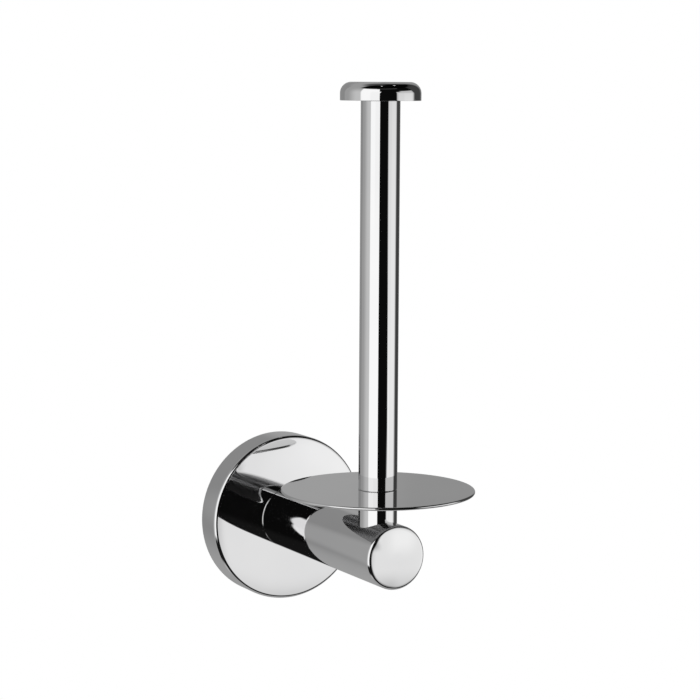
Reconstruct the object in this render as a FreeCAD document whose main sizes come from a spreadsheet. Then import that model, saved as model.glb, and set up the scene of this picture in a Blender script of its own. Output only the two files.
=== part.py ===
"""Upright holder for a spare toilet roll, fixed to a wall, in chrome-plated metal.

Millimetres, +Z up. The wall is the plane Y = 0 and the holder stands out from it towards -Y.
The origin lies on the wall, on the common axis of the rosette and the arm.
"""
import FreeCAD, Part
import math
import os
import re

import Sketcher

# Driving sizes: name, value, meaning. Lengths are in millimetres.
SIZES = (
    ("rosette_diameter", 55.0, "outside of the rosette"),
    ("rosette_depth", 10.0, "wall to the front face of the rosette"),
    ("rosette_wall", 2.5, "side wall of the rosette"),
    ("rosette_face", 2.5, "thickness of the rosette's front face"),
    ("rosette_bevel", 0.6, "bevel on the rosette's front edge"),
    ("boss_width", 10.0, "width of the set screw boss inside the rosette"),
    ("boss_depth", 2.4, "how far the boss stands in from the side wall"),
    ("boss_recess", 0.5, "wall to the rear end of the boss"),
    ("plate_play", 0.25, "radial play between the wall plate and the rosette"),
    ("plate_floor", 2.5, "thickness of the wall plate's floor"),
    ("plate_height", 6.0, "height of the wall plate's rim"),
    ("plate_rim", 4.5, "thickness of the wall plate's rim"),
    ("plate_lead_in", 0.6, "bevel on the wall plate's front edge"),
    ("plate_eye", 16.0, "central hole of the wall plate"),
    ("plate_flat_play", 0.4, "gap between the wall plate's flat and the boss"),
    ("slot_width", 4.5, "width of a wall screw slot"),
    ("slot_length", 8.0, "length of a wall screw slot, end to end"),
    ("slot_spacing", 31.0, "centre to centre of the wall screw slots"),
    ("set_screw_diameter", 4.0, "thread of the set screw"),
    ("set_screw_length", 5.0, "length of the set screw"),
    ("set_screw_offset", 4.0, "wall to the set screw's axis"),
    ("set_screw_bevel", 0.35, "bevel on the set screw's outer end"),
    ("set_screw_tip", 2.4, "diameter of the set screw's cup point"),
    ("set_screw_key", 2.0, "hex key of the set screw"),
    ("set_screw_socket", 2.0, "depth of the set screw's socket"),
    ("set_screw_gap", 0.05, "set screw's point to the wall plate's flat"),
    ("arm_diameter", 20.0, "diameter of the arm"),
    ("arm_reach", 80.5, "wall to the arm's end"),
    ("arm_end_bevel", 0.6, "bevel on the arm's front edge"),
    ("arm_base_bevel", 0.3, "bevel on the arm's rear edge"),
    ("pin_diameter", 3.0, "diameter of the locating pin"),
    ("pin_length", 8.0, "length of the locating pin"),
    ("pin_height", 6.6, "arm axis to the locating pin's axis"),
    ("pin_recess", 0.3, "pin below the inside of the rosette's face"),
    ("pin_bevel", 0.3, "bevel on the locating pin's ends"),
    ("thread_diameter", 6.0, "thread of the arm screw, the stud and the cap"),
    ("thread_play", 0.05, "radial play of a thread or a pin in its hole"),
    ("pass_play", 0.2, "radial play of a plain hole over a thread"),
    ("thread_bevel", 0.6, "bevel on the end of a thread"),
    ("tap_spare", 0.8, "blind hole past the end of what it holds"),
    ("screw_length", 16.0, "length of the arm screw under its head"),
    ("screw_head", 10.5, "diameter of the arm screw's head"),
    ("screw_head_height", 3.3, "height of the arm screw's head"),
    ("screw_head_taper", 1.8, "taper of the arm screw's button head"),
    ("screw_key", 4.0, "hex key of the arm screw"),
    ("screw_socket", 2.0, "depth of the arm screw's socket"),
    ("washer_diameter", 10.2, "outside of the lock washer"),
    ("washer_thickness", 1.5, "thickness of the lock washer"),
    ("washer_split", 12.0, "angle of the lock washer's split, in degrees"),
    ("post_setback", 12.0, "arm's end back to the post's axis"),
    ("post_diameter", 12.0, "diameter of the post and its foot"),
    ("post_length", 119.0, "top of the rest disc to the cap"),
    ("post_bevel", 0.2, "bevel on the ends of the post and its foot"),
    ("tube_wall", 1.0, "wall of the post's tube"),
    ("seat_height", 4.0, "arm axis to the floor of the foot's seat"),
    ("seat_play", 0.05, "radial play of the foot and the tube in their seats"),
    ("disc_height", 19.5, "arm axis to the top of the rest disc"),
    ("disc_diameter", 60.0, "diameter of the rest disc"),
    ("disc_thickness", 1.0, "thickness of the rest disc"),
    ("disc_bevel", 0.25, "bevel on the rest disc's edges"),
    ("disc_register", 0.25, "depth of the tube's seat in the rest disc"),
    ("bush_length", 14.0, "length of a threaded bush in the tube"),
    ("bush_play", 0.02, "radial play of a bush in the tube"),
    ("bush_recess", 0.3, "bush below the end of the tube"),
    ("stud_in_arm", 6.0, "stud below the arm's axis"),
    ("stud_in_bush", 11.5, "stud above the top of the rest disc"),
    ("stud_key", 3.0, "hex key of the stud"),
    ("stud_socket", 3.0, "depth of the stud's socket"),
    ("cap_diameter", 24.6, "diameter of the cap"),
    ("cap_height", 5.6, "height of the cap"),
    ("cap_round", 3.4, "round on the cap's top edge"),
    ("cap_thread", 10.0, "length of the cap's threaded spigot"),
)
ALIASES = frozenset(name for name, _, _ in SIZES)

# Formulas that several pieces share, so that mating faces keep the same size.
ROSETTE_RADIUS = "rosette_diameter / 2"
CAVITY_RADIUS = "(rosette_diameter / 2 - rosette_wall)"
CAVITY_DEPTH = "(rosette_depth - rosette_face)"
BOSS_FACE = f"({CAVITY_RADIUS} - boss_depth)"
PLATE_RADIUS = f"({CAVITY_RADIUS} - plate_play)"
PLATE_FLAT = f"({BOSS_FACE} - plate_flat_play)"
THREAD_RADIUS = "thread_diameter / 2"
TAPPED_RADIUS = "(thread_diameter / 2 + thread_play)"
PASS_RADIUS = "(thread_diameter / 2 + pass_play)"
PIN_HOLE_RADIUS = "(pin_diameter / 2 + thread_play)"
ARM_RADIUS = "arm_diameter / 2"
SCREW_IN_ARM = "(screw_length - washer_thickness - rosette_face)"
PIN_REAR = f"({CAVITY_DEPTH} + pin_recess)"
POST_OFFSET = "(arm_reach - post_setback)"
POST_RADIUS = "post_diameter / 2"
POST_SEAT_RADIUS = "(post_diameter / 2 + seat_play)"
TUBE_BORE = "(post_diameter / 2 - tube_wall)"
TUBE_FOOT = "(disc_height - disc_register)"
DISC_UNDERSIDE = "(disc_height - disc_thickness)"
POST_TOP = "(disc_height + post_length)"
CAP_TOP = f"({POST_TOP} + cap_height)"
STUD_TOP = "(disc_height + stud_in_bush)"

HEXAGON = 6
NEAR = 1e-4
ROUND_THE_ARM = "H_Axis"
ROUND_THE_POST = "V_Axis"
Z_DIRECTION = FreeCAD.Vector(0, 0, 1)

doc = FreeCAD.newDocument("spare_roll_holder")
sheet = doc.addObject("Spreadsheet::Sheet", "Sizes")
for row, (name, number, meaning) in enumerate(SIZES, start=1):
    sheet.set(f"A{row}", meaning)
    sheet.set(f"B{row}", str(number))
    sheet.setAlias(f"B{row}", name)
doc.recompute()


def tied(formula):
    """The formula with every driving size written as a reference to its cell."""
    return re.sub(r"[a-z_]+", lambda word: f"Sizes.{word[0]}" if word[0] in ALIASES else word[0], formula)


def value(formula):
    """The number that a formula of driving sizes comes to."""
    return float(sheet.evalExpression(tied(formula)))


def new_body(label, y="0", z="0"):
    """An empty body, placed by formulas for its shift along Y and Z."""
    body = doc.addObject("PartDesign::Body", label)
    body.Label = label
    body.setExpression("Placement.Base.y", tied(y))
    body.setExpression("Placement.Base.z", tied(z))
    return body


def new_sketch(body, role, lift="0"):
    """A sketch on one of the body's own origin planes, lifted along the plane's normal."""
    sketch = body.newObject("Sketcher::SketchObject", f"{body.Name}_sketch")
    plane = next(item for item in body.Origin.OriginFeatures if item.Role == role)
    sketch.AttachmentSupport = [(plane, "")]
    sketch.MapMode = "FlatFace"
    sketch.setExpression("AttachmentOffset.Base.z", tied(lift))
    return sketch


def measure(sketch, formula, *constraint):
    """Adds a dimension to a sketch and ties it to a formula."""
    kind, *places = constraint
    index = sketch.addConstraint(Sketcher.Constraint(kind, *places, value(formula)))
    sketch.setExpression(f"Constraints[{index}]", tied(formula))


def pin_point(sketch, edge, end, x, y):
    """Ties one point of a sketch to formulas for its two coordinates."""
    measure(sketch, x, "DistanceX", -1, 1, edge, end)
    measure(sketch, y, "DistanceY", -1, 1, edge, end)


def point(corner):
    """The place of a corner given as a pair of formulas."""
    return FreeCAD.Vector(value(corner[0]), value(corner[1]), 0)


def outline(sketch, corners):
    """A closed outline of straight edges, each corner a pair of formulas."""
    count = len(corners)
    for place, corner in enumerate(corners):
        sketch.addGeometry(Part.LineSegment(point(corner), point(corners[(place + 1) % count])))
    for place, corner in enumerate(corners):
        sketch.addConstraint(Sketcher.Constraint("Coincident", place, 2, (place + 1) % count, 1))
        pin_point(sketch, place, 1, *corner)


def circle(sketch, x, y, radius):
    """A circle with formulas for its centre and radius."""
    ring = sketch.addGeometry(Part.Circle(point((x, y)), Z_DIRECTION, value(radius)))
    pin_point(sketch, ring, 3, x, y)
    measure(sketch, radius, "Radius", ring)


def hexagon(sketch, across):
    """A hexagon about the sketch's origin, sized across its flats."""
    step = 360 // HEXAGON
    reach = f"{across} / sqrt(3)"
    angles = [step * turn for turn in range(HEXAGON)]
    outline(sketch, [(f"{reach} * cos({angle})", f"{reach} * sin({angle})") for angle in angles])


def slot(sketch, x, length, width):
    """A slot along the sketch's first axis with its middle at x on that axis."""
    radius = value(width) / 2
    near = point((f"{x} - ({length} - {width}) / 2", "0"))
    far = point((f"{x} + ({length} - {width}) / 2", "0"))
    up = FreeCAD.Vector(0, radius, 0)
    near_circle = Part.Circle(near, Z_DIRECTION, radius)
    far_circle = Part.Circle(far, Z_DIRECTION, radius)
    left = sketch.addGeometry(Part.ArcOfCircle(near_circle, math.pi / 2, 3 * math.pi / 2))
    lower = sketch.addGeometry(Part.LineSegment(near - up, far - up))
    right = sketch.addGeometry(Part.ArcOfCircle(far_circle, -math.pi / 2, math.pi / 2))
    upper = sketch.addGeometry(Part.LineSegment(far + up, near + up))
    sketch.addConstraint(Sketcher.Constraint("Tangent", left, 2, lower, 1))
    sketch.addConstraint(Sketcher.Constraint("Tangent", lower, 2, right, 1))
    sketch.addConstraint(Sketcher.Constraint("Tangent", right, 2, upper, 1))
    sketch.addConstraint(Sketcher.Constraint("Tangent", upper, 2, left, 1))
    pin_point(sketch, left, 3, f"{x} - ({length} - {width}) / 2", "0")
    measure(sketch, f"{x} + ({length} - {width}) / 2", "DistanceX", -1, 1, right, 3)
    measure(sketch, f"{width} / 2", "Radius", left)


def revolve(body, sketch, axis, angle="360"):
    """Turns a sketch about one of its own axes, half of the angle to each side."""
    feature = body.newObject("PartDesign::Revolution", f"{body.Name}_turned")
    feature.Profile = sketch
    feature.ReferenceAxis = (sketch, [axis])
    feature.Midplane = True
    feature.setExpression("Angle", tied(angle))
    doc.recompute()


def pad(body, sketch, length):
    """Adds a sketch's area to the body, drawn out along the sketch's normal."""
    feature = body.newObject("PartDesign::Pad", f"{body.Name}_pad")
    feature.Profile = sketch
    feature.setExpression("Length", tied(length))
    doc.recompute()


def pocket(body, sketch, along_normal, length=None):
    """Cuts a sketch's area from the body, to a depth or right through."""
    feature = body.newObject("PartDesign::Pocket", f"{body.Name}_cut")
    feature.Profile = sketch
    feature.Reversed = along_normal
    if length is None:
        feature.Type = "ThroughAll"
    else:
        feature.setExpression("Length", tied(length))
    doc.recompute()


def round_edge(body, height, ring_radius, radius):
    """Rounds the circular edge of this radius at this height on an upright turned body."""
    base = body.Tip
    wanted = (value(height), value(ring_radius))
    names = []
    for place, edge in enumerate(base.Shape.Edges, start=1):
        if edge.Degenerated or not isinstance(edge.Curve, Part.Circle):
            continue
        if math.dist((edge.Curve.Center.z, edge.Curve.Radius), wanted) < NEAR:
            names.append(f"Edge{place}")
    feature = body.newObject("PartDesign::Fillet", f"{body.Name}_round")
    feature.Base = (base, names)
    feature.setExpression("Radius", tied(radius))
    doc.recompute()


def bar_outline(sketch, inner, outer, low, high, low_bevel, high_bevel):
    """Half section of a turned ring or rod with bevelled ends, its axis upright in the sketch."""
    outline(sketch, [
        (inner, low),
        (f"{outer} - {low_bevel}", low),
        (outer, f"{low} + {low_bevel}"),
        (outer, f"{high} - {high_bevel}"),
        (f"{outer} - {high_bevel}", high),
        (inner, high),
    ])


def build_wall_plate():
    """Dished plate screwed to the wall; the rosette slides over its rim and is keyed by its flat."""
    body = new_body("wall_plate")
    section = new_sketch(body, "YZ_Plane")
    outline(section, [
        ("0", "plate_eye / 2"),
        ("0", PLATE_RADIUS),
        ("plate_lead_in - plate_height", PLATE_RADIUS),
        ("-plate_height", f"{PLATE_RADIUS} - plate_lead_in"),
        ("-plate_height", f"{PLATE_RADIUS} - plate_rim"),
        ("-plate_floor", f"{PLATE_RADIUS} - plate_rim"),
        ("-plate_floor", "plate_eye / 2"),
    ])
    revolve(body, section, ROUND_THE_ARM)
    for side in ("-", ""):
        opening = new_sketch(body, "XZ_Plane")
        slot(opening, f"{side}slot_spacing / 2", "slot_length", "slot_width")
        pocket(body, opening, True)
    flat = new_sketch(body, "XZ_Plane")
    outline(flat, [
        (f"-{PLATE_RADIUS}", f"-{PLATE_FLAT}"),
        (f"-{PLATE_RADIUS}", f"-{ROSETTE_RADIUS}"),
        (PLATE_RADIUS, f"-{ROSETTE_RADIUS}"),
        (PLATE_RADIUS, f"-{PLATE_FLAT}"),
    ])
    pocket(body, flat, True)
    return body


def build_rosette():
    """Round cover cup, open to the wall, with a boss for the set screw inside its lower side."""
    body = new_body("rosette")
    section = new_sketch(body, "YZ_Plane")
    outline(section, [
        ("0", CAVITY_RADIUS),
        ("0", ROSETTE_RADIUS),
        ("rosette_bevel - rosette_depth", ROSETTE_RADIUS),
        ("-rosette_depth", f"{ROSETTE_RADIUS} - rosette_bevel"),
        ("-rosette_depth", PASS_RADIUS),
        (f"-{CAVITY_DEPTH}", PASS_RADIUS),
        (f"-{CAVITY_DEPTH}", CAVITY_RADIUS),
    ])
    revolve(body, section, ROUND_THE_ARM)
    boss = new_sketch(body, "XZ_Plane", "boss_recess")
    outline(boss, [
        ("-boss_width / 2", f"-{BOSS_FACE}"),
        ("-boss_width / 2", f"-{CAVITY_RADIUS} - rosette_wall / 2"),
        ("boss_width / 2", f"-{CAVITY_RADIUS} - rosette_wall / 2"),
        ("boss_width / 2", f"-{BOSS_FACE}"),
    ])
    pad(body, boss, f"{CAVITY_DEPTH} - boss_recess + rosette_face / 2")
    tapped = new_sketch(body, "XY_Plane")
    circle(tapped, "0", "-set_screw_offset", "set_screw_diameter / 2 + thread_play")
    pocket(body, tapped, False)
    pin_hole = new_sketch(body, "XZ_Plane")
    circle(pin_hole, "0", "pin_height", PIN_HOLE_RADIUS)
    pocket(body, pin_hole, True)
    return body


def build_set_screw():
    """Headless screw with a cup point that locks the rosette to the wall plate from below."""
    outer_end = f"{PLATE_FLAT} + set_screw_gap + set_screw_length"
    body = new_body("set_screw", "-set_screw_offset", f"-({outer_end})")
    section = new_sketch(body, "XZ_Plane")
    outline(section, [
        ("0", "0"),
        ("set_screw_diameter / 2 - set_screw_bevel", "0"),
        ("set_screw_diameter / 2", "set_screw_bevel"),
        ("set_screw_diameter / 2", "set_screw_length - (set_screw_diameter - set_screw_tip) / 2"),
        ("set_screw_tip / 2", "set_screw_length"),
        ("0", "set_screw_length - set_screw_tip / 4"),
    ])
    revolve(body, section, ROUND_THE_POST)
    socket = new_sketch(body, "XY_Plane")
    hexagon(socket, "set_screw_key")
    pocket(body, socket, True, "set_screw_socket")
    return body


def build_arm():
    """Round bar, tapped from behind for its screw and bored from above for the post's foot and stud."""
    body = new_body("arm")
    hole_end = f"(rosette_depth + {SCREW_IN_ARM} + tap_spare)"
    section = new_sketch(body, "YZ_Plane")
    outline(section, [
        ("-arm_reach", "0"),
        (f"-{hole_end}", "0"),
        (f"-{hole_end}", TAPPED_RADIUS),
        ("-rosette_depth", TAPPED_RADIUS),
        ("-rosette_depth", f"{ARM_RADIUS} - arm_base_bevel"),
        ("-rosette_depth - arm_base_bevel", ARM_RADIUS),
        ("arm_end_bevel - arm_reach", ARM_RADIUS),
        ("-arm_reach", f"{ARM_RADIUS} - arm_end_bevel"),
    ])
    revolve(body, section, ROUND_THE_ARM)
    pin_hole = new_sketch(body, "XZ_Plane", "rosette_depth")
    circle(pin_hole, "0", "pin_height", PIN_HOLE_RADIUS)
    pocket(body, pin_hole, True, f"{PIN_REAR} + pin_length - rosette_depth + tap_spare")
    tapped = new_sketch(body, "XY_Plane", "-stud_in_arm - tap_spare")
    circle(tapped, "0", f"-{POST_OFFSET}", TAPPED_RADIUS)
    pocket(body, tapped, True)
    seat = new_sketch(body, "XY_Plane", "seat_height")
    circle(seat, "0", f"-{POST_OFFSET}", POST_SEAT_RADIUS)
    pocket(body, seat, True)
    return body


def build_arm_screw():
    """Button-head screw from inside the rosette into the arm."""
    end = "(screw_head_height + screw_length)"
    body = new_body("arm_screw", f"screw_head_height + washer_thickness - {CAVITY_DEPTH}")
    section = new_sketch(body, "YZ_Plane")
    outline(section, [
        ("0", "0"),
        ("0", "screw_head / 2 - screw_head_taper"),
        ("-screw_head_taper", "screw_head / 2"),
        ("-screw_head_height", "screw_head / 2"),
        ("-screw_head_height", THREAD_RADIUS),
        (f"thread_bevel - {end}", THREAD_RADIUS),
        (f"-{end}", f"{THREAD_RADIUS} - thread_bevel"),
        (f"-{end}", "0"),
    ])
    revolve(body, section, ROUND_THE_ARM)
    socket = new_sketch(body, "XZ_Plane")
    hexagon(socket, "screw_key")
    pocket(body, socket, True, "screw_socket")
    return body


def build_lock_washer():
    """Split spring washer under the arm screw's head, closed flat."""
    body = new_body("lock_washer", f"-{CAVITY_DEPTH}")
    section = new_sketch(body, "YZ_Plane")
    outline(section, [
        ("0", PASS_RADIUS),
        ("0", "washer_diameter / 2"),
        ("washer_thickness", "washer_diameter / 2"),
        ("washer_thickness", PASS_RADIUS),
    ])
    revolve(body, section, ROUND_THE_ARM, "360 - washer_split")
    return body


def build_locating_pin():
    """Dowel above the arm screw that keeps the arm from turning in the rosette."""
    body = new_body("locating_pin", f"-{PIN_REAR}", "pin_height")
    section = new_sketch(body, "YZ_Plane")
    outline(section, [
        ("0", "0"),
        ("0", "pin_diameter / 2 - pin_bevel"),
        ("-pin_bevel", "pin_diameter / 2"),
        ("pin_bevel - pin_length", "pin_diameter / 2"),
        ("-pin_length", "pin_diameter / 2 - pin_bevel"),
        ("-pin_length", "0"),
    ])
    revolve(body, section, ROUND_THE_ARM)
    return body


def build_post_stud():
    """Threaded stud that clamps tube, rest disc and foot down into the arm."""
    body = new_body("post_stud", f"-{POST_OFFSET}")
    section = new_sketch(body, "XZ_Plane")
    bar_outline(section, "0", THREAD_RADIUS, "-stud_in_arm", STUD_TOP, "thread_bevel", "thread_bevel")
    revolve(body, section, ROUND_THE_POST)
    socket = new_sketch(body, "XY_Plane", STUD_TOP)
    hexagon(socket, "stud_key")
    pocket(body, socket, False, "stud_socket")
    return body


def build_post_foot():
    """Short sleeve let into the arm, carrying the rest disc."""
    body = new_body("post_foot", f"-{POST_OFFSET}")
    section = new_sketch(body, "XZ_Plane")
    bar_outline(section, PASS_RADIUS, POST_RADIUS, "seat_height", DISC_UNDERSIDE, "post_bevel", "post_bevel")
    revolve(body, section, ROUND_THE_POST)
    return body


def build_rest_disc():
    """Thin round disc the roll stands on, with a shallow seat that centres the tube."""
    body = new_body("rest_disc", f"-{POST_OFFSET}")
    section = new_sketch(body, "XZ_Plane")
    outline(section, [
        (PASS_RADIUS, DISC_UNDERSIDE),
        ("disc_diameter / 2 - disc_bevel", DISC_UNDERSIDE),
        ("disc_diameter / 2", f"{DISC_UNDERSIDE} + disc_bevel"),
        ("disc_diameter / 2", "disc_height - disc_bevel"),
        ("disc_diameter / 2 - disc_bevel", "disc_height"),
        (POST_SEAT_RADIUS, "disc_height"),
        (POST_SEAT_RADIUS, TUBE_FOOT),
        (PASS_RADIUS, TUBE_FOOT),
    ])
    revolve(body, section, ROUND_THE_POST)
    return body


def build_post_tube():
    """Upright tube that the roll's core drops over."""
    body = new_body("post_tube", f"-{POST_OFFSET}")
    section = new_sketch(body, "XZ_Plane")
    bar_outline(section, TUBE_BORE, POST_RADIUS, TUBE_FOOT, POST_TOP, "post_bevel", "post_bevel")
    revolve(body, section, ROUND_THE_POST)
    return body


def build_bush(label, low):
    """Threaded bush pressed into one end of the tube."""
    body = new_body(label, f"-{POST_OFFSET}")
    section = new_sketch(body, "XZ_Plane")
    outer = f"({TUBE_BORE} - bush_play)"
    high = f"({low} + bush_length)"
    outline(section, [
        (TAPPED_RADIUS, low),
        (outer, low),
        (outer, high),
        (TAPPED_RADIUS, high),
    ])
    revolve(body, section, ROUND_THE_POST)
    return body


def build_top_cap():
    """Button cap with a flat underside and a threaded spigot."""
    body = new_body("top_cap", f"-{POST_OFFSET}")
    section = new_sketch(body, "XZ_Plane")
    outline(section, [
        ("0", f"{POST_TOP} - cap_thread"),
        (f"{THREAD_RADIUS} - thread_bevel", f"{POST_TOP} - cap_thread"),
        (THREAD_RADIUS, f"{POST_TOP} - cap_thread + thread_bevel"),
        (THREAD_RADIUS, POST_TOP),
        ("cap_diameter / 2", POST_TOP),
        ("cap_diameter / 2", CAP_TOP),
        ("0", CAP_TOP),
    ])
    revolve(body, section, ROUND_THE_POST)
    round_edge(body, CAP_TOP, "cap_diameter / 2", "cap_round")
    return body


pieces = [
    build_wall_plate(),
    build_rosette(),
    build_set_screw(),
    build_arm(),
    build_arm_screw(),
    build_lock_washer(),
    build_locating_pin(),
    build_post_stud(),
    build_post_foot(),
    build_rest_disc(),
    build_post_tube(),
    build_bush("lower_bush", f"({TUBE_FOOT} + bush_recess)"),
    build_bush("upper_bush", f"({POST_TOP} - bush_recess - bush_length)"),
    build_top_cap(),
]
doc.recompute()

for item in doc.Objects:
    if "Invalid" in item.State or "Error" in item.State:
        raise RuntimeError(f"{item.Label} did not build: {item.State}")

os.makedirs("parts", exist_ok=True)
for piece in pieces:
    if piece.Shape.isNull() or not piece.Shape.isValid():
        raise RuntimeError(f"{piece.Label} has no sound shape")
    if len(piece.Shape.Solids) != 1:
        raise RuntimeError(f"{piece.Label} is not one solid")
    piece.Shape.exportStep(f"parts/{piece.Label}.step")
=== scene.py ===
"""Looks of an upright wall holder for a spare toilet roll, in polished chrome.

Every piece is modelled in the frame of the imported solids: the wall is the plane Y = 0, the holder
stands out from it towards -Y, and +Z is up. The classes hold their sizes in millimetres.
"""

import logging
import math
from collections.abc import Callable, Iterator, Sequence
from contextlib import contextmanager
from dataclasses import dataclass, field
from enum import Enum
from itertools import pairwise

import bmesh
import bpy
from mathutils import Matrix, Vector


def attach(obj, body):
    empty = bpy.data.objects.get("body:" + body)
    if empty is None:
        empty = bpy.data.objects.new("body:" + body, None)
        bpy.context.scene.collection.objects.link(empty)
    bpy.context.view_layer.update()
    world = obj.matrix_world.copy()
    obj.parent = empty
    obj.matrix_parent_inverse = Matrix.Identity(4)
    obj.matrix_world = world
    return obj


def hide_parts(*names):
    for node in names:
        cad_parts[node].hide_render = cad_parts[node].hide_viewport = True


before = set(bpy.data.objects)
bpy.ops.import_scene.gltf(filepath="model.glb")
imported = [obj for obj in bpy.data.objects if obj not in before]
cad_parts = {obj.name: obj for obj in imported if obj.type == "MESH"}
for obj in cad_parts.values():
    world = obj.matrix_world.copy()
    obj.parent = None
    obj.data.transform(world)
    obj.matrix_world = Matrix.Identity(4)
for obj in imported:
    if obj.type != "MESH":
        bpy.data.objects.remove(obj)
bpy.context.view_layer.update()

LOG = logging.getLogger("roll_holder")
MM = 0.001
# Two places closer than this, in millimetres, are the same.
NEAR = 0.004
SIDES = 256
SMALL_SIDES = 96
# Points and slivers closer or thinner than these, in metres, are merged.
WELD = 1e-7
SLIVER = 1e-6
SMOOTH_ANGLE = math.radians(38)
FLAT_WEIGHT = 100
# Middle range of a noise texture, where nearly all of its values lie.
NOISE_RANGE = (0.3, 0.7)
FINE_DETAIL = 4.0

Object = bpy.types.Object
Material = bpy.types.Material
Socket = bpy.types.NodeSocket
Ring = tuple[float, float]
Point = tuple[float, float, float]
Colour = tuple[float, float, float]


class Body(Enum):
    """Bodies that the pieces ride on."""

    WALL_PLATE = "wall_plate_body"
    HOLDER = "holder_body"
    SET_SCREW = "set_screw_body"


class Slot(Enum):
    """Material slots of the part's record."""

    CHROME = "chrome_plating"
    ZINC = "zinc_plating"
    STEEL = "plain_steel"
    BRASS = "bush_brass"


class Carve(Enum):
    """Ways in which one shape works on another."""

    CUT = "DIFFERENCE"
    ADD = "UNION"


class Run(Enum):
    """Directions that a piece or a tool can lie in, as the turn that lays it there."""

    UP = (0.0, 0.0, 0.0)
    OUT_FROM_WALL = (math.pi / 2, 0.0, 0.0)


def clear_bench() -> None:
    """Leaves edit mode and deselects every object."""
    if bpy.context.mode != "OBJECT":
        bpy.ops.object.mode_set(mode="OBJECT")
    bpy.ops.object.select_all(action="DESELECT")


def take_up(piece: Object) -> None:
    """Makes one piece the only selected and active object.

    Args:
        piece: The object to work on.
    """
    clear_bench()
    piece.select_set(True)
    bpy.context.view_layer.objects.active = piece


@contextmanager
def editing(piece: Object) -> Iterator[None]:
    """Opens a piece in edit mode with nothing selected, and closes it afterwards.

    Args:
        piece: The object to work on.

    Returns:
        A context in which mesh operators act on the piece.
    """
    take_up(piece)
    bpy.ops.object.mode_set(mode="EDIT")
    bpy.ops.mesh.select_mode(type="VERT")
    bpy.ops.mesh.select_all(action="DESELECT")
    yield
    bpy.ops.object.mode_set(mode="OBJECT")


def pick_edges(piece: Object, wanted: Callable[[Vector, Vector], bool]) -> None:
    """Selects the edges of a piece in edit mode by where their ends lie.

    Args:
        piece: The object in edit mode.
        wanted: Says of an edge's two ends, in millimetres, whether to select it.
    """
    bpy.ops.mesh.select_mode(type="EDGE")
    shape = bmesh.from_edit_mesh(piece.data)
    for edge in shape.edges:
        first, second = (piece.matrix_world @ end.co / MM for end in edge.verts)
        edge.select_set(wanted(first, second))
    bmesh.update_edit_mesh(piece.data)


def pick_points(piece: Object, wanted: Callable[[Vector], bool]) -> None:
    """Selects the points of a piece in edit mode by where they lie.

    Args:
        piece: The object in edit mode.
        wanted: Says of a point, in millimetres, whether to select it.
    """
    bpy.ops.mesh.select_mode(type="VERT")
    shape = bmesh.from_edit_mesh(piece.data)
    for point in shape.verts:
        point.select_set(wanted(piece.matrix_world @ point.co / MM))
    shape.select_flush_mode()
    bmesh.update_edit_mesh(piece.data)


def on_ring(ring: Ring) -> Callable[[Vector], bool]:
    """Makes a test for points on a ring about the upright axis.

    Args:
        ring: Radius and height of the ring.

    Returns:
        A function that is true of a point on the ring.
    """
    return lambda point: abs(point.xy.length - ring[0]) < NEAR and abs(point.z - ring[1]) < NEAR


def turned(name: str, profile: Sequence[Ring], hollow: bool, sides: int = SIDES) -> Object:
    """Turns a piece about the upright axis by drawing one ring out along a profile.

    Args:
        name: Name of the new piece.
        profile: Radius and height of each ring in turn.
        hollow: Whether the last ring meets the first; if not, both ends get a flat face.
        sides: Number of sides of the ring.

    Returns:
        The new piece, still upright on the axis.
    """
    clear_bench()
    radius, height = profile[0]
    bpy.ops.mesh.primitive_circle_add(
        vertices=sides, radius=radius * MM, location=(0, 0, height * MM), fill_type="NOTHING")
    piece = bpy.context.object
    piece.name = piece.data.name = name
    route = [*profile, profile[0]] if hollow else list(profile)
    with editing(piece):
        bpy.ops.mesh.select_mode(type="EDGE")
        bpy.ops.mesh.select_all(action="SELECT")
        for (old_radius, old_height), (new_radius, new_height) in pairwise(route):
            rise = (0, 0, (new_height - old_height) * MM)
            bpy.ops.mesh.extrude_region_move(TRANSFORM_OT_translate={"value": rise})
            grow = new_radius / old_radius
            bpy.ops.transform.resize(
                value=(grow, grow, 1), center_override=(0, 0, new_height * MM))
        if not hollow:
            bpy.ops.mesh.edge_face_add()
            bpy.ops.mesh.select_all(action="DESELECT")
            first = on_ring(profile[0])
            pick_edges(piece, lambda one, two: first(one) and first(two))
            bpy.ops.mesh.edge_face_add()
        bpy.ops.mesh.select_all(action="SELECT")
        bpy.ops.mesh.remove_doubles(threshold=WELD)
        bpy.ops.mesh.normals_make_consistent(inside=False)
    settle(piece)
    return piece


def soften(piece: Object, rings: Sequence[Ring], width: float, steps: int) -> None:
    """Rounds ring edges of a turned piece.

    Args:
        piece: The turned piece, still upright on its axis.
        rings: Radius and height of each edge.
        width: Radius of the round on a square edge.
        steps: Number of faces across the round.
    """
    tests = [on_ring(ring) for ring in rings]
    with editing(piece):
        pick_edges(piece, lambda one, two: any(test(one) and test(two) for test in tests))
        bpy.ops.mesh.bevel(offset=width * MM, segments=steps, affect="EDGES")


def settle(piece: Object, turn: Run = Run.UP, shift: Point = (0.0, 0.0, 0.0)) -> None:
    """Turns and shifts a piece, and puts that into its mesh.

    Args:
        piece: The piece to place.
        turn: The direction that its axis is laid in.
        shift: How far it moves, in millimetres.
    """
    take_up(piece)
    piece.rotation_euler = turn.value
    piece.location = piece.location + Vector(shift) * MM
    bpy.ops.object.transform_apply(location=True, rotation=True, scale=True)


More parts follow.
